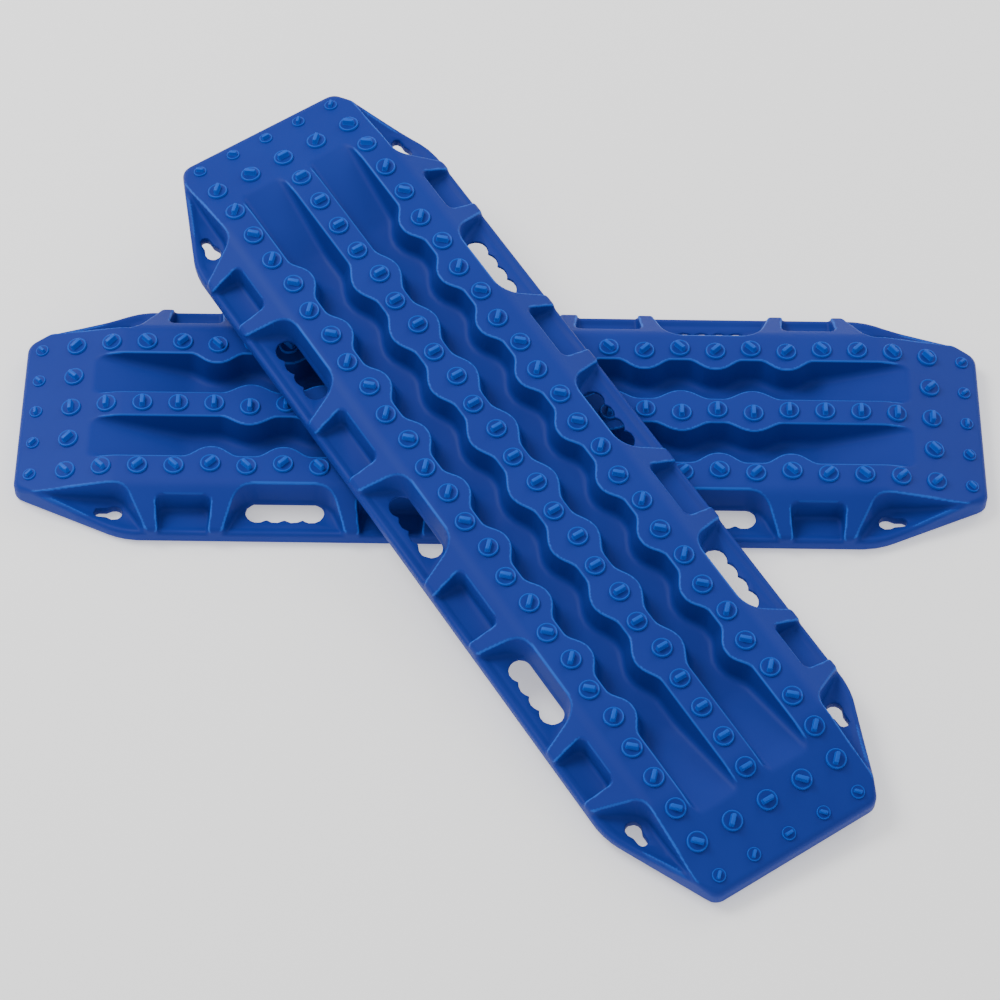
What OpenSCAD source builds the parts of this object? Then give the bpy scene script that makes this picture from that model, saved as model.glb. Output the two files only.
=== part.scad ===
// Pair of tire traction mats: one lies flat, the other leans across it.
// Each mat is a hollow moulded deck with two grip channels, six hand slots and a field of studs.
// Origin: middle of the lower mat at its resting plane. X runs along the lower mat, Z is up.

/* [Mat] */
// Length of one mat
mat_len = 1060; // [1040:5:1100]
// Width of one mat
mat_w = 310; // [300:2:330]
// Height of the deck above the ground
deck_z = 46; // [42:1:46]
// Wall thickness of the moulding
wall = 4; // [3:0.5:5]
// Straight half width of each end edge
end_half = 100; // [90:1:106]
// Length of the cut corner along the mat
corner_len = 122; // [110:2:130]
// Radius of the end corners
end_corner_r = 15; // [8:1:20]
// Radius where the cut corner meets the long side
side_corner_r = 90; // [40:5:100]

/* [Deck slopes] */
// Half width of the flat deck
deck_half = 107.5; // [104:0.5:110]
// Height of the rib ends at the long side
rib_edge_z = 21; // [17:1:24]
// Height of the flange between the ribs
flange_z = 13; // [11:1:15]
// Height of the lip along the outer edge of the flange
lip_h = 2.8; // [1:0.2:4]
// Width of the lip
lip_w = 5; // [4:0.5:7]
// Distance from the middle to where the deck starts to drop to the end
slope_start = 421.5; // [415:0.5:425]
// Angle of the end slope
slope_angle = 12; // [8:0.5:14]

/* [Grip channels] */
// Half width of the middle ridge
ridge_half = 16.5; // [15:0.5:20]
// Distance from the middle line to the outer edge of each channel
channel_outer = 71; // [66:0.5:74]
// Half length of each channel
channel_half_len = 450; // [440:1:455]
// Half length of the level channel floor
floor_half_len = 347; // [330:1:360]
// Height of the channel floor
channel_floor_z = 15; // [13:1:20]
// Radius of the lobes on the middle ridge
middle_lobe_r = 28; // [24:0.5:30]
// Radius of the lobes on the outer ridges
outer_lobe_r = 24.5; // [22:0.5:27]

/* [Studs] */
// Distance between studs along the mat
pitch = 39.4; // [39.4:0.1:39.4]
// Distance between stud rows
row_gap = 43; // [42:0.5:44]
// How far studs on the outer lobes sit inwards
outer_shift = 3.7; // [0:0.1:5]
// How far studs on the middle lobes sit to one side
middle_shift = 4.4; // [0:0.1:5]
// Radius of a large stud's base disc
disc_r = 11; // [10:0.5:12]
// Height of a large stud's base disc
disc_h = 3; // [2:0.5:4]
// Height of a large stud's blade above the deck
blade_top = 9; // [8:0.5:9]
// Length of a large stud's blade
blade_len = 13; // [10:0.5:15]
// Thickness of a large stud's blade
blade_t = 5; // [4:0.5:6]
// Size of a small stud against a large one
small_scale = 0.66; // [0.5:0.01:0.8]
// Radius of the stud shank in the deck
shank_r = 4; // [3:0.5:5]

/* [Hand slots and keyholes] */
// Distance between hand slots
slot_gap = 234; // [228:1:238]
// Distance from the middle line to a slot's inner edge
slot_inner = 110.5; // [109:0.5:113]
// Distance from the middle line to the tips of the finger scallops
slot_outer = 135.7; // [133:0.1:137]
// Radius of a finger scallop
scallop_r = 13.4; // [12:0.1:14]
// Distance between finger scallops
scallop_gap = 19.5; // [18.5:0.1:20]
// Radius of a hand slot's inner corners
slot_corner_r = 12; // [8:0.5:12]
// Distance of a keyhole from the middle, along the mat
keyhole_u = 418.5; // [416:0.5:421]
// Distance of a keyhole from the middle line
keyhole_v = 125.5; // [124:0.5:127]
// Radius of a keyhole's round part
keyhole_r = 8.75; // [7.5:0.25:9]
// Width of a keyhole's neck
neck_w = 11; // [9:0.5:12]
// Distance from the round part's centre to the end of the neck
neck_len = 22; // [19:0.5:24]

/* [Underside ribs] */
// Thickness of the ribs under the deck
rib_t = 4; // [3:0.5:5]

/* [Upper mat's pose] */
// Turn of the upper mat seen from above
upper_turn = -56.6; // [-62:0.2:-56.6]
// Lean of the upper mat towards the ground
upper_lean = 6.2; // [6.2:0.1:6.5]
// Sideways place of the upper mat's middle
upper_x = 12; // [-20:1:40]
// Place of the upper mat's middle across the lower mat
upper_y = -104.5; // [-107:0.5:-104.5]

/* [Hidden] */
$fn = 48;

half_len = mat_len / 2;
half_w = mat_w / 2;
last = 26;                    // stud columns are numbered 0 to last along the mat
mid = last / 2;
mat_blue = [0.10, 0.27, 0.62];
stud_blue = [0.08, 0.38, 0.76];
arc_steps = 4;
below = 1;                    // overrun of cutting solids past the ground plane
above = 60;                   // height of cutting solids
ground_gap = 0.2;             // clearance under the upper mat's lowest corner
side_drop = (deck_z - rib_edge_z) / (half_w - deck_half);
end_drop = tan(slope_angle);
head_r = 6.5;                 // staked head of a shank under the deck
head_h = 2;
stake_gap = 0.02;
small_head_r = 5;
blade_round = 0.2;            // corner radius of a blade against its thickness

// Two-dimensional helpers: a polygon with rounded corners

function unit(v) = v / norm(v);
function corner(prev, at, next, r) =
    let (d1 = unit(prev - at),
         d2 = unit(next - at),
         half = acos(d1 * d2) / 2,
         c = at + unit(d1 + d2) * r / sin(half),
         from = at + d1 * r / tan(half) - c,
         a0 = atan2(from.y, from.x),
         turn = sign(d2.x * d1.y - d2.y * d1.x) * (180 - 2 * half))
    r <= 0 ? [at] : [for (k = [0 : arc_steps]) c + r * [cos(a0 + turn * k / arc_steps),
                                                       sin(a0 + turn * k / arc_steps)]];
function rounded(pts, radii) =
    let (n = len(pts))
    [for (k = [0 : n - 1]) each corner(pts[(k + n - 1) % n], pts[k], pts[(k + 1) % n], radii[k])];

// Outline of the mat seen from above, moved inwards by inset

function outline_points(inset) =
    let (rise = half_w - end_half,
         slant = norm([rise, corner_len]),
         nx = rise / slant,
         ny = corner_len / slant,
         reach = nx * half_len + ny * end_half - inset,
         x = half_len - inset,
         y = half_w - inset,
         end_y = (reach - nx * x) / ny,
         side_x = (reach - ny * y) / nx)
    [[x, -end_y], [x, end_y], [side_x, y], [-side_x, y],
     [-x, end_y], [-x, -end_y], [-side_x, -y], [side_x, -y]];

module outline(inset) {
    re = end_corner_r - inset;
    rs = side_corner_r - inset;
    polygon(rounded(outline_points(inset), [re, re, rs, rs, re, re, rs, rs]));
}

// Cross section and long section of the deck, lowered by inset

module cross_section(inset) {
    down = inset * norm([1, side_drop]);
    reach = half_w + below;
    edge = deck_z - side_drop * (reach - deck_half) - down;
    inner = deck_half - (down - inset) / side_drop;
    polygon([[-reach, -below], [reach, -below], [reach, edge], [inner, deck_z - inset],
             [-inner, deck_z - inset], [-reach, edge]]);
}

module long_section(inset) {
    down = inset * norm([1, end_drop]);
    reach = half_len + below;
    edge = deck_z - end_drop * (reach - slope_start) - down;
    inner = slope_start - (down - inset) / end_drop;
    polygon([[-reach, -below], [reach, -below], [reach, edge], [inner, deck_z - inset],
             [-inner, deck_z - inset], [-reach, edge]]);
}

module along_u() {
    rotate([90, 0, 90]) linear_extrude(mat_len + 4 * below, center = true) children();
}

module along_v() {
    rotate([90, 0, 0]) linear_extrude(mat_w + 4 * below, center = true) children();
}

// Grip channels: straight troughs with staggered lobes, ramped at both ends

module channel_plan(grow) {
    difference() {
        translate([-channel_half_len - grow, ridge_half - grow])
            square([2 * (channel_half_len + grow), channel_outer - ridge_half + 2 * grow]);
        for (i = [6 : 2 : 20]) translate([(i - mid) * pitch, 0]) circle(middle_lobe_r - grow);
        for (i = [5 : 2 : 21]) translate([(i - mid) * pitch, 2 * row_gap - outer_shift])
            circle(outer_lobe_r - grow);
    }
}

module channel_depth(grow) {
    top = deck_z - end_drop * (channel_half_len - slope_start);
    ramp = (top - channel_floor_z) / (channel_half_len - floor_half_len);
    far = mat_len / 2 + below;
    far_z = channel_floor_z + ramp * (far - floor_half_len) - grow;
    floor_z = channel_floor_z - grow;
    polygon([[-floor_half_len, floor_z], [floor_half_len, floor_z], [far, far_z],
             [far, far_z + above], [-far, far_z + above], [-far, far_z]]);
}

module channels(grow) {
    for (side = [0, 1]) mirror([0, side, 0])
        intersection() {
            linear_extrude(above) channel_plan(grow);
            along_v() channel_depth(grow);
        }
}

// Pockets along the long sides, between the ribs

// Each: half width inside, half width at the long side, inner edge, corner radius
handle_pocket = [50, 67, deck_half, 17];
inner_pocket = [37, 34, 119, 9];
outer_pocket = [30, 27.5, 119.5, 9];
inner_pocket_u = 118.5;
outer_pocket_u = 342.5;

module pocket_plan(size, grow) {
    reach = half_w + 10;
    widen = (size[1] - size[0]) * (reach - size[2]) / (half_w - size[2]);
    polygon(rounded([[-size[0] - grow, size[2] - grow], [size[0] + grow, size[2] - grow],
                     [size[0] + widen + grow, reach], [-size[0] - widen - grow, reach]],
                    [size[3], size[3], 0, 0]));
}

keyhole_pocket = [[408, deck_half], [508, 110], [530, 112], [530, 170], [374, 170]];
keyhole_corner = 16;
keyhole_ramp_u = 437;         // where the keyhole pocket's floor starts to rise
keyhole_ramp = 0.17;

module keyhole_pocket(grow) {
    tip = half_len + below;
    rise = keyhole_ramp * (tip - keyhole_ramp_u);
    difference() {
        translate([0, 0, flange_z - grow]) linear_extrude(above)
            polygon(rounded([keyhole_pocket[0] + [-grow, -grow], keyhole_pocket[1] + [grow, -grow],
                             keyhole_pocket[2], keyhole_pocket[3], keyhole_pocket[4] - [grow, 0]],
                            [keyhole_corner, 0, 0, 0, 0]));
        rotate([90, 0, 0]) linear_extrude(2 * mat_w, center = true)
            polygon([[keyhole_ramp_u, flange_z - grow], [tip, flange_z - grow + rise], [tip, 0],
                     [keyhole_ramp_u, 0]]);
    }
}

module pockets(grow) {
    for (side = [0, 1]) mirror([0, side, 0]) {
        translate([0, 0, flange_z - grow]) linear_extrude(above) {
            for (k = [-1 : 1]) translate([k * slot_gap, 0]) pocket_plan(handle_pocket, grow);
            for (s = [-1, 1]) translate([s * inner_pocket_u, 0]) pocket_plan(inner_pocket, grow);
            for (s = [-1, 1]) translate([s * outer_pocket_u, 0]) pocket_plan(outer_pocket, grow);
        }
        for (front = [0, 1]) mirror([front, 0, 0]) keyhole_pocket(grow);
    }
}

// Raised lip along the outer edge, which closes the pockets

module lip() {
    linear_extrude(flange_z + lip_h) difference() {
        outline(-below);
        outline(lip_w);
    }
}

// The deck as a solid block with its top moved inwards by inset

module form(inset) {
    difference() {
        intersection() {
            translate([0, 0, -below * sign(inset)]) linear_extrude(deck_z) outline(inset);
            along_u() cross_section(inset);
            along_v() long_section(inset);
        }
        difference() {
            pockets(inset);
            if (inset == 0) lip();
        }
        channels(inset);
    }
}

// Hand slots with four finger scallops, and keyholes

module hand_slot() {
    half = 1.5 * scallop_gap + scallop_r;
    middle = slot_outer - scallop_r;
    far = slot_outer + 1;
    intersection() {
        union() {
            for (k = [0 : 3]) translate([(k - 1.5) * scallop_gap, middle]) circle(scallop_r);
            translate([-half, slot_inner]) square([2 * half, middle - slot_inner]);
        }
        polygon(rounded([[-half, slot_inner], [half, slot_inner], [half, far], [-half, far]],
                        [slot_corner_r, slot_corner_r, 0, 0]));
    }
}

module hand_slots() {
    for (side = [0, 1], k = [-1 : 1]) mirror([0, side, 0]) translate([k * slot_gap, 0]) hand_slot();
}

module keyhole(grow) {
    translate([keyhole_u, keyhole_v]) {
        circle(keyhole_r + grow);
        translate([0, -neck_w / 2 - grow]) square([neck_len - neck_w / 2, neck_w + 2 * grow]);
        translate([neck_len - neck_w / 2, 0]) circle(neck_w / 2 + grow);
    }
}

module keyholes(grow) {
    for (side = [0, 1], front = [0, 1]) mirror([0, side, 0]) mirror([front, 0, 0]) keyhole(grow);
}

// Stiffening ribs under the deck, clear of the stud shanks and the hand slots

module ribs() {
    for (side = [-1, 1], k = [0 : 5]) translate([side * (2 * k + 1.5) * pitch, 0, above / 2])
        cube([rib_t, 2 * deck_half - wall, above + 4 * below], center = true);
    for (v = [-1, 1]) translate([0, v * row_gap, above / 2])
        cube([2 * floor_half_len + 2 * pitch, rib_t, above + 4 * below], center = true);
}

// Stud places: column i along the mat, row j across it

function lobed_outer(i) = i % 2 == 1 && i >= 5 && i <= 21;
function lobed_middle(i) = i % 2 == 0 && i >= 6 && i <= 20;
function stud_u(i) = (i - mid) * pitch;
function stud_v(i, j) =
    (j - 2) * row_gap
    - (abs(j - 2) == 2 && lobed_outer(i) ? sign(j - 2) * outer_shift : 0)
    + (j == 2 && lobed_middle(i) ? middle_shift : 0);
function on_slope(i) = abs(stud_u(i)) > slope_start;
function stud_z(i) = deck_z - max(0, abs(stud_u(i)) - slope_start) * end_drop;
function stud_tilt(i) = on_slope(i) ? sign(stud_u(i)) * slope_angle : 0;

// Blade direction of a stud, in degrees from the mat's length
function outer_sign(i) =
    let (turned = (i < mid ? 1 : -1) * (i % 2 == 1 ? 1 : -1))
    i <= 1 || i >= last - 1 ? -sign(mid - i) : turned;
function blade_angle(i, j) =
    j == 2 ? 90
    : abs(j - 2) == 2 ? 45 * outer_sign(i) * -sign(j - 2)
    : 45 * sign(j - 2) * -sign(mid - i);

module at_stud(i, j) {
    translate([stud_u(i), stud_v(i, j), stud_z(i)]) rotate([0, stud_tilt(i), 0]) children();
}

module stud_hole(i, j) {
    small = i == 0 || i == last;
    at_stud(i, j) cylinder(h = 4 * wall, r = small ? shank_r * small_scale : shank_r, center = true);
}

module stud_holes() {
    for (i = [1 : last - 1], j = [0, 2, 4]) stud_hole(i, j);
    for (i = [1, last - 1], j = [1, 3]) stud_hole(i, j);
    for (i = [0, last], j = [0 : 4]) stud_hole(i, j);
}

module blade(len, t, h) {
    r = t * blade_round;
    linear_extrude(h) polygon(rounded([[-len, -t] / 2, [len, -t] / 2, [len, t] / 2, [-len, t] / 2],
                                      [r, r, r, r]));
}

// One stud: a chamfered base disc with a block-shaped blade, and a shank staked under the deck

module stud(size, top, head) {
    r = disc_r * size;
    h = disc_h * size;
    rotate_extrude() polygon([[0, 0], [r, 0], [r, h * 0.5], [r - h * 0.5, h], [0, h]]);
    blade(blade_len * size, blade_t * size, top);
    translate([0, 0, -wall - stake_gap]) cylinder(h = wall + 2 * stake_gap, r = shank_r * size);
    translate([0, 0, -wall - stake_gap - head_h]) cylinder(h = head_h, r = head);
}

module large_stud(i, j) {
    at_stud(i, j) rotate([0, 0, blade_angle(i, j)]) stud(1, blade_top, head_r);
}

module small_stud(i, j) {
    angle = j == 2 ? 90 : 45 * sign(j - 2) * -sign(mid - i);
    at_stud(i, j) rotate([0, 0, angle]) stud(small_scale, blade_top * small_scale, small_head_r);
}

// Parts of one mat, in the mat's own frame

module shell() {
    color(mat_blue) difference() {
        form(0);
        difference() {
            form(wall);
            ribs();
            translate([0, 0, -2 * below]) linear_extrude(flange_z) keyholes(wall);
        }
        translate([0, 0, -below]) linear_extrude(above) {
            hand_slots();
            keyholes(0);
        }
        stud_holes();
    }
}

module row_studs(j, from, to) {
    color(stud_blue) for (i = [from : to]) large_stud(i, j);
}

module end_studs(i) {
    color(stud_blue) for (j = [1, 3]) large_stud(i, j);
}

module small_studs(i) {
    color(stud_blue) for (j = [0 : 4]) small_stud(i, j);
}

// Places of the two mats

module lower() {
    rotate([0, 0, 180]) children();
}

near_corner = outline_points(0)[0];
upper_z = ground_gap - (-sin(-upper_turn) * near_corner.x + cos(upper_turn) * near_corner.y) * sin(upper_lean);

module upper() {
    translate([upper_x, upper_y, upper_z]) rotate([upper_lean, 0, 0]) rotate([0, 0, upper_turn]) children();
}

lower() shell();  // lower_mat_shell
lower() row_studs(4, mid, last - 1);  // lower_left_front_studs
lower() row_studs(4, 1, mid - 1);  // lower_left_rear_studs
lower() row_studs(2, mid, last - 1);  // lower_centre_front_studs
lower() row_studs(2, 1, mid - 1);  // lower_centre_rear_studs
lower() row_studs(0, mid, last - 1);  // lower_right_front_studs
lower() row_studs(0, 1, mid - 1);  // lower_right_rear_studs
lower() end_studs(last - 1);  // lower_front_end_studs
lower() end_studs(1);  // lower_rear_end_studs
lower() small_studs(last);  // lower_front_small_studs
lower() small_studs(0);  // lower_rear_small_studs
upper() shell();  // upper_mat_shell
upper() row_studs(4, mid, last - 1);  // upper_left_front_studs
upper() row_studs(4, 1, mid - 1);  // upper_left_rear_studs
upper() row_studs(2, mid, last - 1);  // upper_centre_front_studs
upper() row_studs(2, 1, mid - 1);  // upper_centre_rear_studs
upper() row_studs(0, mid, last - 1);  // upper_right_front_studs
upper() row_studs(0, 1, mid - 1);  // upper_right_rear_studs
upper() end_studs(last - 1);  // upper_front_end_studs
upper() end_studs(1);  // upper_rear_end_studs
upper() small_studs(last);  // upper_front_small_studs
upper() small_studs(0);  // upper_rear_small_studs
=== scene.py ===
"""Looks of a pair of moulded traction mats, one lying flat and one leaning across it.

Each mat is one thin moulded shell, described by a distance function in the mat's own frame:
u along the mat, v across it, z up from its resting plane, all in millimetres.
"""

import math

import bpy
import numpy as np
from mathutils import Matrix, Vector


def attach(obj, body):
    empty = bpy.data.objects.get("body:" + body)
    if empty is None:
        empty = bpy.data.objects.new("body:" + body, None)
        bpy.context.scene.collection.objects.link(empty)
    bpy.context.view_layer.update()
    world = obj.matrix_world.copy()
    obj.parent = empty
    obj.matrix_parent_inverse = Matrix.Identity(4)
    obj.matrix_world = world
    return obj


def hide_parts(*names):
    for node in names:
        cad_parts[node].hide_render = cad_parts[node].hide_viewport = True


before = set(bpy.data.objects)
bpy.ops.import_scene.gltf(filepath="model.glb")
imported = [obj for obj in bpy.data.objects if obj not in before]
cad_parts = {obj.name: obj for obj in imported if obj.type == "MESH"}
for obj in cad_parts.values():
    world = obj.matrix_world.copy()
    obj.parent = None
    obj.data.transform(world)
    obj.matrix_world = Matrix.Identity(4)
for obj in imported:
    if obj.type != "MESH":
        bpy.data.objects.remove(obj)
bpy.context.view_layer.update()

# ---------------------------------------------------------------- sizes of one mat, in millimetres

MM = 0.001
HALF_LEN = 530.0
HALF_W = 155.0
DECK_Z = 46.0
WALL = 4.0
END_HALF = 100.0
CORNER_LEN = 122.0

# The deck slopes down to the long sides from DECK_HALF on, and to the ends from SLOPE_START on
DECK_HALF = 107.5
SIDE_EDGE_Z = 21.0
SIDE_DROP = (DECK_Z - SIDE_EDGE_Z) / (HALF_W - DECK_HALF)
SLOPE_START = 421.5
SLOPE_ANGLE = 12.0
END_DROP = math.tan(math.radians(SLOPE_ANGLE))

# The flange that is the floor of the pockets, and the lip that rises along its outer edge
FLANGE_Z = 13.0
LIP_HEIGHT = 2.4
LIP_START = 12.0
LIP_TOP = 4.0

# How widely the corners of the form are rounded
END_CORNER_EDGE = 9.6
SIDE_CORNER_EDGE = 8.0
SIDE_BEND = 3.5
END_BEND = 1.5
TOP_EDGE = 2.0
HOLE_EDGE = 1.6
INNER_EDGE = 1.0
RIB_FOOT = 3.0
BOTTOM_EDGE = 5.0

# The rim's rounding: everywhere, and what is added at the ends and low down
RIM_EDGE = 4.0
RIM_END_EDGE = 3.0
RIM_END_START = 505.0
RIM_END_RUN = 15.0
RIM_LOW_EDGE = 1.0
RIM_LOW_START = 28.0
RIM_LOW_RUN = 8.0

# The grid of studs, counted in columns along the mat and rows across it
PITCH = 39.4
ROW_GAP = 43.0
OUTER_SHIFT = 3.7
MIDDLE_SHIFT = 4.4
LAST = 26
MID = LAST // 2
ROWS = range(5)
RIGHT_ROW, MID_ROW, LEFT_ROW = 0, 2, 4
BETWEEN_ROWS = (1, 3)
SHIFTED_OUTER = range(5, 22, 2)
SHIFTED_MIDDLE = range(6, 21, 2)

# The grip channels, and the lobes of their walls: places along the mat, place across, radius
RIDGE_HALF = 16.5
CHANNEL_OUTER = 71.0
CHANNEL_HALF_LEN = 450.0
CHANNEL_FLOOR_Z = 15.0
FLOOR_HALF_LEN = 347.0
CHANNEL_LEAN = 0.18
CHANNEL_END_REACH = 6.0
CHANNEL_END_EDGE = 4.0
CHANNEL_CORNER = 6.0
CHANNEL_FOOT = 8.0
RAMP_BEND = 2.5
LOBE_BLEND = 10.0
MIDDLE_LOBES = (PITCH * np.array([1, 3, 5, 7]), 0.0, 28.0)
OUTER_LOBES = (PITCH * np.array([0, 2, 4, 6, 8]), 2 * ROW_GAP - OUTER_SHIFT, 24.5)

# Pockets: half width at the inner wall and at the long side, inner wall, lean, corner rounding
HANDLE_POCKET = (46.5, 65.5, 109.0, 0.14, 19.0)
INNER_POCKET = (35.0, 33.0, 120.0, 0.10, 10.0)
OUTER_POCKET = (28.0, 26.5, 120.5, 0.10, 10.0)
SLOT_GAP = 234.0
INNER_POCKET_U = 118.5
OUTER_POCKET_U = 342.5
POCKET_BACK_LEAN = 0.06
POCKET_FOOT = 5.0

# Keyhole pocket: where its slanted side wall and its inner wall start, how they run and lean
SLANT_START = (413.5, DECK_HALF)
SLANT_RUN = (30.5, -47.5)
SLANT_LEAN = 0.17
INNER_WALL_START = (408.0, 108.5)
INNER_WALL_SLOPE = 0.02
INNER_WALL_LEAN = 0.03
KEYHOLE_POCKET_CORNER = 12.0
TIP_START = 437.0
TIP_SLOPE = 0.17
TIP_BEND = 3.0

# Hand slots and keyholes
SLOT_INNER = 110.5
SLOT_CORNER_R = 12.0
SCALLOP_R = 13.4
SCALLOP_V = 122.3
SCALLOP_GAP = 19.5
SCALLOP_BLEND = 1.2
KEYHOLE = (418.5, 125.5)
KEYHOLE_R = 8.75
NECK_HALF = 5.5
NECK_REACH = 16.5
NECK_BLEND = 3.0

# Ribs under the deck
RIB_HALF = 2.0
RIB_END = 98.0
CROSS_RIBS = PITCH * np.array([1.5, 3.5, 5.5, 7.5, 9.5, 11.5])

# Studs
SMALL_SCALE = 0.66
STUD_SIDES = 40
STUD_TURN = 45.0
SHARP_ANGLE = 40.0

# Radius and height of each ring of a stud's base disc and of its shank
DISC_RINGS = [(11.0, -0.3), (11.0, 1.7), (10.9, 2.3), (10.6, 2.75), (10.2, 2.97),
              (9.9, 2.95), (9.7, 2.8), (9.5, 2.6), (9.2, 2.5)]
SHANK_RINGS = [(5.2, -6.2), (6.2, -5.8), (6.5, -5.2), (6.5, -4.1), (4.0, -4.0), (4.0, -0.2)]

# Length, width, corner radius and height of each ring of a stud's upright block
BLADE_RINGS = [(14.4, 6.4, 2.0, 2.3), (13.6, 5.6, 1.6, 2.6), (13.0, 5.0, 1.4, 3.2),
               (12.6, 4.6, 1.3, 7.6), (12.3, 4.3, 1.2, 8.3), (11.7, 3.8, 1.1, 8.8),
               (10.9, 3.0, 0.9, 9.0)]

# Pose of the upper mat on the lower one
UPPER_TURN = -56.6
UPPER_LEAN = 6.2
UPPER_PLACE = (12.0, -104.5)
GROUND_GAP = 0.2

# Meshing of the moulded shell: grid step and lowest layer, and the moves onto the true surface
GRID = 1.6
LOWEST_LAYER = 0.4 - 1.5 * GRID
SETTLING_MOVES = 2
LONGEST_MOVE = 0.7 * GRID
LEAST_SLOPE = 0.2
TINY = 1e-9
SHELL_TRIANGLES = 180000
KEPT_FINE = 4.0

# How far the surface has to bend before an edge gets a painted highlight, and how much more makes
# the painted highlight full
HIGHLIGHT_BEND_START = 0.14
HIGHLIGHT_BEND_RANGE = 0.25
HIGHLIGHT_ABOVE_LIP = 1.0


# ---------------------------------------------------------------- the moulded shell as a distance

def smooth_max(a, b, width):
    """The larger of a and b, with the corner between them rounded over a width."""
    overlap = np.maximum(width - np.abs(a - b), 0.0)
    return np.maximum(a, b) + overlap * overlap * (0.25 / width)


def smooth_min(a, b, width):
    """The smaller of a and b, with the corner between them rounded over a width."""
    return -smooth_max(-a, -b, width)


def nearest(u, places):
    """Distance along the mat to the nearest of some places."""
    distance = np.abs(u - places[0])
    for place in places[1:]:
        distance = np.minimum(distance, np.abs(u - place))
    return distance


def outline(u, v):
    """Distance to the outline of a mat seen from above, with its cut corners."""
    rise = HALF_W - END_HALF
    slant = math.hypot(rise, CORNER_LEN)
    cut = (rise * (u - HALF_LEN) + CORNER_LEN * (v - END_HALF)) / slant
    end = smooth_max(u - HALF_LEN, cut, END_CORNER_EDGE)
    return smooth_max(end, v - HALF_W, SIDE_CORNER_EDGE)


def roof(u, v, z):
    """The flat deck with its slopes down to the long sides and to the ends."""
    side = (z - DECK_Z + SIDE_DROP * (v - DECK_HALF)) / math.hypot(1, SIDE_DROP)
    end = (z - DECK_Z + END_DROP * (u - SLOPE_START)) / math.hypot(1, END_DROP)
    return smooth_max(smooth_max(z - DECK_Z, side, SIDE_BEND), end, END_BEND)


def lobes(u, v, places, across, radius):
    """The round lobes by which a ridge widens under its studs."""
    return np.hypot(nearest(u, places), v - across) - radius


def channel(u, v, z):
    """A grip channel between the middle ridge and the outer ridge, ramped up at its ends."""
    ridge = smooth_min(v - RIDGE_HALF, lobes(u, v, *MIDDLE_LOBES), LOBE_BLEND)
    side = smooth_min(CHANNEL_OUTER - v, lobes(u, v, *OUTER_LOBES), LOBE_BLEND)
    walls = smooth_max(-ridge, -side, CHANNEL_CORNER) + CHANNEL_LEAN * (DECK_Z - z)
    walls /= math.hypot(1, CHANNEL_LEAN)
    top = DECK_Z - END_DROP * (CHANNEL_HALF_LEN - SLOPE_START)
    ramp = (top - CHANNEL_FLOOR_Z) / (CHANNEL_HALF_LEN - FLOOR_HALF_LEN)
    rising = (CHANNEL_FLOOR_Z + ramp * (u - FLOOR_HALF_LEN) - z) / math.hypot(1, ramp)
    floor = smooth_max(CHANNEL_FLOOR_Z - z, rising, RAMP_BEND)
    end = u - CHANNEL_HALF_LEN - CHANNEL_END_REACH
    return smooth_max(smooth_max(walls, floor, CHANNEL_FOOT), end, CHANNEL_END_EDGE)


def pocket(u, v, height, middle, half, half_edge, inner, lean, corner):
    """A recess in the long side with leaning side walls, at a height above its floor."""
    widen = (half_edge - half) / (HALF_W - inner)
    side = np.abs(u - middle) - half - widen * (v - inner) - lean * height
    side /= math.sqrt(1 + widen ** 2 + lean ** 2)
    back = inner - v - POCKET_BACK_LEAN * height
    return smooth_max(smooth_max(side, back, corner), -height, POCKET_FOOT)


def keyhole_pocket(u, v, height):
    """The recess at a cut corner: one slanted side wall and a floor that rises to a tip."""
    run_u, run_v = SLANT_RUN
    side = (run_v * (u - SLANT_START[0]) - run_u * (v - SLANT_START[1])) / math.hypot(run_u, run_v)
    side = (side - SLANT_LEAN * height) / math.hypot(1, SLANT_LEAN)
    start_u, start_v = INNER_WALL_START
    back = start_v + INNER_WALL_SLOPE * (u - start_u) - v - INNER_WALL_LEAN * height
    floor = smooth_max(-height, TIP_SLOPE * (u - TIP_START) - height, TIP_BEND)
    return smooth_max(smooth_max(side, back, KEYHOLE_POCKET_CORNER), floor, POCKET_FOOT)


def hand_slot(u, v, middle):
    """A hand slot with a straight inner edge and four finger scallops."""
    along = np.abs(u - middle)
    inner = np.hypot(along - 0.5 * SCALLOP_GAP, v - SCALLOP_V) - SCALLOP_R
    outer = np.hypot(along - 1.5 * SCALLOP_GAP, v - SCALLOP_V) - SCALLOP_R
    scallops = smooth_min(inner, outer, SCALLOP_BLEND)
    past_end = along - 1.5 * SCALLOP_GAP - SCALLOP_R + SLOT_CORNER_R
    past_edge = SLOT_INNER + SLOT_CORNER_R - v
    frame_edge = np.hypot(np.maximum(past_end, 0), np.maximum(past_edge, 0)) - SLOT_CORNER_R
    frame_edge += np.minimum(np.maximum(past_end, past_edge), 0)
    return np.maximum(frame_edge, np.minimum(scallops, v - SCALLOP_V))


def keyhole(u, v):
    """A round hole with a narrower neck towards the end of the mat."""
    along = u - KEYHOLE[0]
    across = v - KEYHOLE[1]
    neck = np.hypot(along - np.clip(along, 0, NECK_REACH), across) - NECK_HALF
    return smooth_min(np.hypot(along, across) - KEYHOLE_R, neck, NECK_BLEND)


def holes(u, v):
    """The hand slots and the keyhole of one quarter of a mat."""
    return np.minimum(np.minimum(hand_slot(u, v, 0.0), hand_slot(u, v, SLOT_GAP)), keyhole(u, v))


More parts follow.
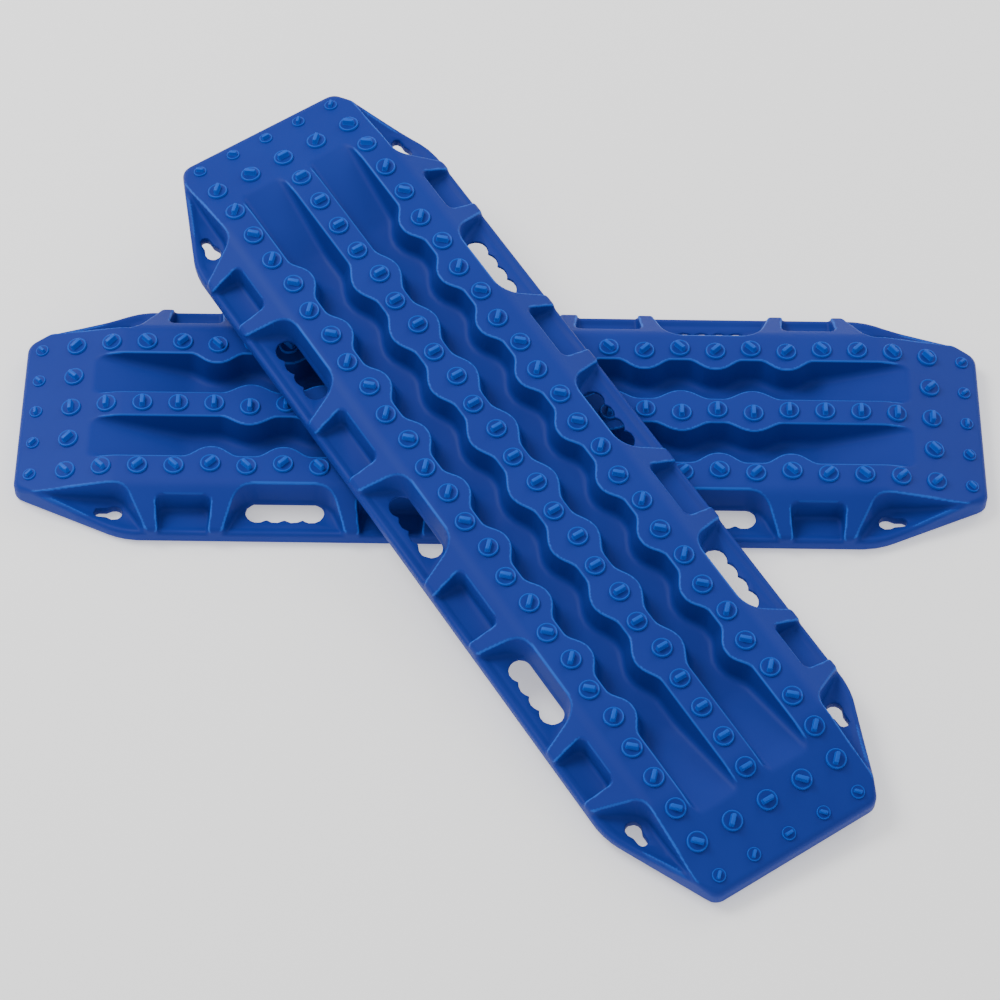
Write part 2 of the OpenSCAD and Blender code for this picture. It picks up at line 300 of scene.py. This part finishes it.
def body(u, v, z):
    """The outer form of the mat, as if it were solid and had no holes."""
    rim = outline(u, v)
    form = smooth_max(roof(u, v, z), -channel(u, v, z), TOP_EDGE)
    into_lip = np.clip((rim + LIP_START) / (LIP_START - LIP_TOP), 0, 1)
    height = z - FLANGE_Z - LIP_HEIGHT * into_lip ** 2 * (3 - 2 * into_lip)
    recess = keyhole_pocket(u, v, height)
    for middle, shape in ((0.0, HANDLE_POCKET), (SLOT_GAP, HANDLE_POCKET),
                          (INNER_POCKET_U, INNER_POCKET), (OUTER_POCKET_U, OUTER_POCKET)):
        recess = np.minimum(recess, pocket(u, v, height, middle, *shape))
    form = smooth_max(form, -recess, TOP_EDGE)
    at_end = np.clip((u - RIM_END_START) / RIM_END_RUN, 0, 1)
    low = np.clip((RIM_LOW_START - z) / RIM_LOW_RUN, 0, 1)
    return smooth_max(form, rim, RIM_EDGE + RIM_END_EDGE * at_end + RIM_LOW_EDGE * low)


def shell(u, v, z):
    """Distance to the moulding: a wall that follows the outer form, with ribs underneath."""
    u, v = np.abs(u), np.abs(v)
    form = body(u, v, z)
    cross = np.maximum(nearest(u, CROSS_RIBS) - RIB_HALF, v - RIB_END)
    along = np.maximum(np.abs(v - ROW_GAP) - RIB_HALF, u - FLOOR_HALF_LEN - PITCH)
    hollow = smooth_max(form + WALL, -np.minimum(cross, along), RIB_FOOT)
    hollow = smooth_max(hollow, WALL - keyhole(u, v), INNER_EDGE)
    outside = smooth_max(form, -holes(u, v), HOLE_EDGE)
    outside = smooth_max(outside, -z, BOTTOM_EDGE)
    return smooth_max(outside, -hollow, INNER_EDGE)


def gradient(points, reach=0.05):
    """Slope of the shell's distance at some points, from four nearby values."""
    slope = np.zeros_like(points)
    for corner in ((1, 1, 1), (1, -1, -1), (-1, 1, -1), (-1, -1, 1)):
        corner = np.array(corner, float)
        slope += shell(*(points + corner * reach).T)[:, None] * corner
    return slope / (4 * reach)


def edge_highlight_mask(points, reach=1.1):
    """Mask of the painted highlight on edges: how much the upper form bends outwards at some
    points, from 0 on flats to 1 on edges.
    """
    u, v, z = np.abs(points[:, 0]), np.abs(points[:, 1]), points[:, 2]
    steps = (-reach, reach)
    bend = -3 * len(steps) * body(u, v, z)
    for step in steps:
        bend += body(u + step, v, z) + body(u, v + step, z) + body(u, v, z + step)
    on_top = np.clip(z - FLANGE_Z - LIP_HEIGHT - HIGHLIGHT_ABOVE_LIP, 0, 1)
    return on_top * np.clip((bend / reach - HIGHLIGHT_BEND_START) / HIGHLIGHT_BEND_RANGE, 0, 1)


# ---------------------------------------------------------------- meshing of the distance

def cells_around(edges, axis, shape):
    """The four grid cells around each grid edge along an axis, in turning order."""
    first, second = (axis + 1) % 3, (axis + 2) % 3
    around = []
    for a, b in ((-1, -1), (0, -1), (0, 0), (-1, 0)):
        cell = edges.copy()
        cell[:, first] += a
        cell[:, second] += b
        around.append(np.ravel_multi_index(cell.T, shape))
    return np.stack(around, 1)


def surface_net(values, origin):
    """Vertices and four-sided faces of the zero surface of a grid of distances."""
    shape = tuple(n - 1 for n in values.shape)
    inside = values < 0
    total = np.zeros((shape[0] * shape[1] * shape[2], 3))
    count = np.zeros(len(total))
    faces = []
    for axis in range(3):
        low = [slice(None)] * 3
        high = [slice(None)] * 3
        low[axis] = slice(0, -1)
        high[axis] = slice(1, None)
        low = tuple(low)
        high = tuple(high)
        crossed = inside[low] != inside[high]
        edges = np.argwhere(crossed)
        before = values[low][crossed]
        after = values[high][crossed]
        points = edges.astype(float)
        points[:, axis] += before / (before - after)
        around = cells_around(edges, axis, shape)
        for k in range(4):
            for c in range(3):
                total[:, c] += np.bincount(around[:, k], points[:, c], len(total))
            count += np.bincount(around[:, k], minlength=len(total))
        around[before > 0] = around[before > 0][:, ::-1]
        faces.append(around)
    used = count > 0
    number = np.cumsum(used) - 1
    vertices = total[used] / count[used][:, None] * GRID + origin
    return vertices, number[np.concatenate(faces)]


def shell_mesh():
    """Vertices and faces of one mat's shell, with every vertex on the true surface."""
    us = np.arange(GRID / 2, HALF_LEN + 2 * GRID, GRID)
    vs = np.arange(GRID / 2, HALF_W + 2 * GRID, GRID)
    zs = np.arange(LOWEST_LAYER, DECK_Z + 2 * GRID, GRID)
    quarter = shell(us[:, None, None], vs[None, :, None], zs[None, None, :])
    half = np.concatenate([quarter[::-1], quarter])
    values = np.concatenate([half[:, ::-1], half], 1)
    vertices, faces = surface_net(values, np.array([-us[-1], -vs[-1], zs[0]]))
    for _ in range(SETTLING_MOVES):
        slope = gradient(vertices)
        steepness = np.maximum((slope ** 2).sum(1), LEAST_SLOPE)[:, None]
        move = shell(*vertices.T)[:, None] * slope / steepness
        length = np.maximum(np.linalg.norm(move, axis=1, keepdims=True), TINY)
        vertices -= move * np.minimum(1, LONGEST_MOVE / length)
    return vertices, faces


# ---------------------------------------------------------------- Blender meshes

def new_mesh(name, vertices, faces):
    """A mesh from vertices in millimetres and faces that may have any number of corners."""
    mesh = bpy.data.meshes.new(name)
    mesh.from_pydata(vertices * MM, [], faces)
    mesh.update()
    return mesh


def quad_mesh(name, vertices, quads):
    """A mesh from vertices in millimetres and many four-sided faces, built quickly."""
    mesh = bpy.data.meshes.new(name)
    mesh.vertices.add(len(vertices))
    mesh.vertices.foreach_set("co", (vertices * MM).astype(np.float32).ravel())
    mesh.loops.add(quads.size)
    mesh.loops.foreach_set("vertex_index", quads.astype(np.int32).ravel())
    mesh.polygons.add(len(quads))
    mesh.polygons.foreach_set("loop_start", np.arange(0, quads.size, 4, dtype=np.int32))
    mesh.update(calc_edges=True)
    return mesh


def add_object(name, data):
    """An object in the scene for a mesh, a light or a camera."""
    obj = bpy.data.objects.new(name, data)
    bpy.context.scene.collection.objects.link(obj)
    return obj


def coordinates(mesh):
    """The places of a mesh's vertices, in metres."""
    flat = np.zeros(len(mesh.vertices) * 3, np.float32)
    mesh.vertices.foreach_get("co", flat)
    return flat.reshape(-1, 3).astype(float)


def thinned(mesh, triangles):
    """The mesh with about that many triangles, and its faces near the upper edges kept small."""
    helper = add_object("thinning_helper", mesh)
    near_edges = np.flatnonzero(edge_highlight_mask(coordinates(mesh) / MM, KEPT_FINE) > 0)
    group = helper.vertex_groups.new(name="near_edges")
    group.add(near_edges.tolist(), 1.0, "REPLACE")
    modifier = helper.modifiers.new("thin", "DECIMATE")
    modifier.vertex_group = group.name
    modifier.invert_vertex_group = True
    modifier.ratio = min(1.0, triangles / (2 * len(mesh.polygons)))
    graph = bpy.context.evaluated_depsgraph_get()
    result = bpy.data.meshes.new_from_object(helper.evaluated_get(graph))
    bpy.data.objects.remove(helper)
    return result


def placed_copy(name, mesh, matrix):
    """A copy of a mesh in the mat's own frame, moved to the mat's place with its normals."""
    copy = mesh.copy()
    copy.name = name
    points = coordinates(mesh) / MM
    points[:, 2] = np.maximum(points[:, 2], 0)
    copy.vertices.foreach_set("co", (points * MM).astype(np.float32).ravel())
    slope = gradient(points)
    slope /= np.maximum(np.linalg.norm(slope, axis=1, keepdims=True), TINY)
    turned = slope @ np.array(matrix.to_3x3()).T
    copy.transform(matrix)
    copy.shade_smooth()
    copy.normals_split_custom_set_from_vertices(turned)
    # Painted highlight: a mask of the bent upper edges, stored per vertex for the materials to
    # paint pale
    edges = copy.attributes.new("edge", "FLOAT", "POINT")
    edges.data.foreach_set("value", edge_highlight_mask(points).astype(np.float32))
    return add_object(name, copy)


# ---------------------------------------------------------------- studs

def ring(radius, z):
    """A level circle of points."""
    angles = (np.arange(STUD_SIDES) + 0.5) * 2 * math.pi / STUD_SIDES
    return np.column_stack([radius * np.cos(angles), radius * np.sin(angles),
                            np.full(STUD_SIDES, z)])


def block_ring(length, width, corner, z):
    """A ring shaped like a rectangle with rounded corners."""
    points = ring(corner, z)
    points[:, 0] += np.sign(points[:, 0]) * (length / 2 - corner)
    points[:, 1] += np.sign(points[:, 1]) * (width / 2 - corner)
    return points


def lofted(rings):
    """A closed solid through rings of points, from the lowest to the highest."""
    sides = len(rings[0])
    faces = [list(range(sides))[::-1]]
    for level in range(len(rings) - 1):
        for k in range(sides):
            a = level * sides + k
            b = level * sides + (k + 1) % sides
            faces.append([a, b, b + sides, a + sides])
    top = (len(rings) - 1) * sides
    faces.append(list(range(top, top + sides)))
    return np.concatenate(rings), faces


def disc():
    """The round base of a stud: a low rolled rim around a slightly sunk middle."""
    return lofted([ring(radius, z) for radius, z in DISC_RINGS])


def blade():
    """The upright block on a stud, slightly narrower towards its top."""
    return lofted([block_ring(*level) for level in BLADE_RINGS])


def shank():
    """The pin under a stud with its staked head, seen from below the deck."""
    return lofted([ring(radius, z) for radius, z in SHANK_RINGS])


def stud_place(column, row):
    """Place of a stud: its position, tilt, turn and size."""
    u = (column - MID) * PITCH
    v = (row - MID_ROW) * ROW_GAP
    across = np.sign(row - MID_ROW)
    side = np.sign(MID - column)
    in_outer_row = row in (RIGHT_ROW, LEFT_ROW)
    if in_outer_row and column in SHIFTED_OUTER:
        v -= across * OUTER_SHIFT
    if row == MID_ROW and column in SHIFTED_MIDDLE:
        v += MIDDLE_SHIFT
    drop = max(0.0, abs(u) - SLOPE_START) * END_DROP
    tilt = np.sign(u) * SLOPE_ANGLE if abs(u) > SLOPE_START else 0.0
    small = column in (0, LAST)
    if row == MID_ROW:
        turn = 2 * STUD_TURN
    elif in_outer_row and not small:
        turned = (1 if column < MID else -1) * (1 if column % 2 else -1)
        outer = -side if column in (1, LAST - 1) else turned
        turn = -STUD_TURN * outer * across
    else:
        turn = -STUD_TURN * across * side
    place = Matrix.Translation((u, v, DECK_Z - drop))
    place = place @ Matrix.Rotation(math.radians(tilt), 4, "Y")
    place = place @ Matrix.Rotation(math.radians(turn), 4, "Z")
    return place @ Matrix.Scale(SMALL_SCALE if small else 1.0, 4)


def stud_set(name, matrix, columns, rows):
    """One mesh with every stud of a group, in place: blades in the studs' brighter plastic, disc
    rims in it too as a painted highlight, disc tops and shanks like the deck.
    """
    stud_tone_and_rim_highlight, deck_tone = 0, 1
    vertices = []
    faces = []
    shades = []
    first = 0
    for column in columns:
        for row in rows:
            place = np.array(matrix @ stud_place(column, row))
            # Painted highlight: a disc's rolled rim takes the brighter stud plastic while its top
            # takes the deck's colour
            for (points, shape), side, top in ((disc(), stud_tone_and_rim_highlight, deck_tone), (blade(), stud_tone_and_rim_highlight, stud_tone_and_rim_highlight),
                                               (shank(), deck_tone, deck_tone)):
                vertices.append(points @ place[:3, :3].T + place[:3, 3])
                faces += [[first + k for k in face] for face in shape]
                shades += [side] * (len(shape) - 1) + [top]
                first += len(points)
    mesh = new_mesh(name, np.concatenate(vertices), faces)
    mesh.polygons.foreach_set("material_index", shades)
    mesh.shade_smooth()
    mesh.set_sharp_from_angle(angle=math.radians(SHARP_ANGLE))
    return add_object(name, mesh)


# ---------------------------------------------------------------- materials

PLASTIC_IOR = 1.3
PLASTIC_SPECULAR = 0.3
CLOUD_SCALE = 9.0
CLOUD_DETAIL = 3.0
CLOUD_RANGE = (0.35, 0.65)
SPECKLE_SCALE = 1100.0
SPECKLE_DETAIL = 2.0
ROUGHNESS_SPREAD = 0.06
GRAIN_DEPTH = 0.0003
HIGHLIGHT_LINE_START = 0.3

# Pale blue painted along the bent upper edges as a painted highlight
PAINTED_EDGE_HIGHLIGHT = (0.015, 0.110, 0.60)
DECK_LOOK = {"colour": (0.011, 0.032, 0.275), "lighter": (0.012, 0.036, 0.295),
             "roughness": 0.50, "grain": 0.35}
# The studs' own brighter blue, also painted on the discs' rolled rims as a painted highlight
STUD_AND_RIM_HIGHLIGHT_LOOK = {"colour": (0.010, 0.090, 0.560), "lighter": (0.011, 0.098, 0.590),
             "roughness": 0.38, "grain": 0.06}


def plastic(name, colour, lighter, roughness, grain):
    """Moulded plastic: an even colour with faint clouds, a painted highlight along bent edges, and
    a fine grain.
    """
    material = bpy.data.materials.new(name)
    material.use_nodes = True
    nodes = material.node_tree.nodes
    links = material.node_tree.links
    shader = nodes["Principled BSDF"]
    shader.inputs["IOR"].default_value = PLASTIC_IOR
    shader.inputs["Specular IOR Level"].default_value = PLASTIC_SPECULAR

    place = nodes.new("ShaderNodeTexCoord")
    clouds = nodes.new("ShaderNodeTexNoise")
    clouds.inputs["Scale"].default_value = CLOUD_SCALE
    clouds.inputs["Detail"].default_value = CLOUD_DETAIL
    links.new(place.outputs["Object"], clouds.inputs["Vector"])

    tint = nodes.new("ShaderNodeValToRGB")
    for stop, position, shade in zip(tint.color_ramp.elements, CLOUD_RANGE, (colour, lighter)):
        stop.position = position
        stop.color = (*shade, 1)
    links.new(clouds.outputs["Fac"], tint.inputs["Fac"])

    # Painted highlight: the colour is mixed towards a pale blue where the edge mask is high
    edge = nodes.new("ShaderNodeAttribute")
    edge.attribute_name = "edge"
    highlight_line = nodes.new("ShaderNodeMapRange")
    highlight_line.inputs["From Min"].default_value = HIGHLIGHT_LINE_START
    links.new(edge.outputs["Fac"], highlight_line.inputs["Value"])
    highlighted = nodes.new("ShaderNodeMix")
    highlighted.data_type = "RGBA"
    links.new(highlight_line.outputs["Result"], highlighted.inputs["Factor"])
    links.new(tint.outputs["Color"], highlighted.inputs["A"])
    highlighted.inputs["B"].default_value = (*PAINTED_EDGE_HIGHLIGHT, 1)
    links.new(highlighted.outputs["Result"], shader.inputs["Base Color"])

    speckle = nodes.new("ShaderNodeTexNoise")
    speckle.inputs["Scale"].default_value = SPECKLE_SCALE
    speckle.inputs["Detail"].default_value = SPECKLE_DETAIL
    links.new(place.outputs["Object"], speckle.inputs["Vector"])

    gloss = nodes.new("ShaderNodeMapRange")
    gloss.inputs["To Min"].default_value = roughness - ROUGHNESS_SPREAD
    gloss.inputs["To Max"].default_value = roughness + ROUGHNESS_SPREAD
    links.new(clouds.outputs["Fac"], gloss.inputs["Value"])
    links.new(gloss.outputs["Result"], shader.inputs["Roughness"])

    bump = nodes.new("ShaderNodeBump")
    bump.inputs["Strength"].default_value = grain
    bump.inputs["Distance"].default_value = GRAIN_DEPTH
    links.new(speckle.outputs["Fac"], bump.inputs["Height"])
    links.new(bump.outputs["Normal"], shader.inputs["Normal"])
    return material


def plain(name, colour, roughness):
    """A material of one even colour."""
    material = bpy.data.materials.new(name)
    material.use_nodes = True
    shader = material.node_tree.nodes["Principled BSDF"]
    shader.inputs["Base Color"].default_value = (*colour, 1)
    shader.inputs["Roughness"].default_value = roughness
    return material


# ---------------------------------------------------------------- the two mats

def upper_matrix():
    """Place of the upper mat, with its near corner just above the ground, in millimetres."""
    turn = Matrix.Rotation(math.radians(UPPER_LEAN), 4, "X")
    turn = turn @ Matrix.Rotation(math.radians(UPPER_TURN), 4, "Z")
    near_corner = turn @ Vector((HALF_LEN, -END_HALF, 0))
    place = Vector((*UPPER_PLACE, GROUND_GAP - near_corner.z))
    return Matrix.Translation(place) @ turn


def in_metres(matrix):
    """The same place, for a mesh that is in metres already."""
    scaled = matrix.copy()
    scaled.translation = matrix.translation * MM
    return scaled


FRONT = range(MID, LAST)
REAR = range(1, MID)
STUD_GROUPS = {
    "left_front_studs": (FRONT, [LEFT_ROW]),
    "left_rear_studs": (REAR, [LEFT_ROW]),
    "centre_front_studs": (FRONT, [MID_ROW]),
    "centre_rear_studs": (REAR, [MID_ROW]),
    "right_front_studs": (FRONT, [RIGHT_ROW]),
    "right_rear_studs": (REAR, [RIGHT_ROW]),
    "front_end_studs": ([LAST - 1], BETWEEN_ROWS),
    "rear_end_studs": ([1], BETWEEN_ROWS),
    "front_small_studs": ([LAST], ROWS),
    "rear_small_studs": ([0], ROWS),
}


def dress(piece, node, body_name, slot, *materials):
    """Give a piece its materials, attach it to its mat's body and hide the part it stands for."""
    for material in materials:
        piece.data.materials.append(material)
    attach(piece, body_name)
    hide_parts(node)


def build_mats():
    """Both mats, each with its moulded deck and its groups of studs."""
    deck_plastic_with_edge_highlight = plastic("deck_plastic_with_edge_highlight", **DECK_LOOK)
    stud_plastic_and_rim_highlight = plastic("stud_plastic_and_rim_highlight", **STUD_AND_RIM_HIGHLIGHT_LOOK)
    deck = thinned(quad_mesh("deck", *shell_mesh()), SHELL_TRIANGLES)
    for side, matrix in (("lower", Matrix.Rotation(math.pi, 4, "Z")), ("upper", upper_matrix())):
        body_name = side + "_mat"
        shell_piece = placed_copy(side + "_moulded_deck", deck, in_metres(matrix))
        dress(shell_piece, side + "_mat_shell", body_name, "moulded_deck", deck_plastic_with_edge_highlight)
        for group, (columns, rows) in STUD_GROUPS.items():
            piece = stud_set(f"{side}_{group}_set", matrix, columns, rows)
            dress(piece, f"{side}_{group}", body_name, "studs", stud_plastic_and_rim_highlight, deck_plastic_with_edge_highlight)


# ---------------------------------------------------------------- studio

CAMERA_PLACE = Vector((-0.0210, -2.4238, 3.1509))
CAMERA_AIM = Vector((-0.0009, -0.0923, 0.0))
CAMERA_ROLL = 1.13
CAMERA_LENS = 129.3
SENSOR_WIDTH = 36.0
FARTHEST = 50.0

FLOOR_HALF = 12.0
FLOOR_COLOUR = (0.93, 0.93, 0.93)
FLOOR_ROUGHNESS = 0.7
FLOOR_GLOW = 0.5
SKY_GLOW = 0.7

# Soft boxes: place and width in metres, power in watts
KEY_SOFTBOX = ((-1.9, 0.9, 2.8), 1.5, 75)
RIM_SOFTBOX = ((1.8, 2.0, 2.0), 1.6, 25)


def aimed(obj, place, aim, roll=0.0):
    """Put a camera or a light at a place, looking at another."""
    turn = (aim - place).to_track_quat("-Z", "Y").to_matrix().to_4x4()
    rolled = Matrix.Rotation(math.radians(roll), 4, "Z")
    obj.matrix_world = Matrix.Translation(place) @ turn @ rolled


def add_camera():
    """The camera of the photo, as fitted to the places of the studs."""
    data = bpy.data.cameras.new("camera")
    data.lens = CAMERA_LENS
    data.sensor_width = SENSOR_WIDTH
    data.clip_end = FARTHEST
    camera = add_object("camera", data)
    aimed(camera, CAMERA_PLACE, CAMERA_AIM, CAMERA_ROLL)
    bpy.context.scene.camera = camera


def add_softbox(name, place, size, power):
    """A square area light that looks at the middle of the lower mat."""
    data = bpy.data.lights.new(name, "AREA")
    data.shape = "SQUARE"
    data.size = size
    data.energy = power
    light = add_object(name, data)
    aimed(light, Vector(place), Vector((0, 0, 0)))


def add_floor():
    """A wide pale floor that glows a little, for the photo's white ground."""
    corners = np.array([(-1, -1, 0), (1, -1, 0), (1, 1, 0), (-1, 1, 0)]) * FLOOR_HALF / MM
    floor = add_object("floor", new_mesh("floor", corners, [[0, 1, 2, 3]]))
    paint = plain("floor_paint", FLOOR_COLOUR, FLOOR_ROUGHNESS)
    shader = paint.node_tree.nodes["Principled BSDF"]
    shader.inputs["Emission Color"].default_value = (1, 1, 1, 1)
    shader.inputs["Emission Strength"].default_value = FLOOR_GLOW
    floor.data.materials.append(paint)


def add_sky(strength):
    """Even white light from all around."""
    world = bpy.data.worlds.new("studio")
    world.use_nodes = True
    background = world.node_tree.nodes["Background"]
    background.inputs["Color"].default_value = (1, 1, 1, 1)
    background.inputs["Strength"].default_value = strength
    bpy.context.scene.world = world


build_mats()
add_floor()
add_sky(SKY_GLOW)
add_softbox("key_softbox", *KEY_SOFTBOX)
add_softbox("rim_softbox", *RIM_SOFTBOX)
add_camera()
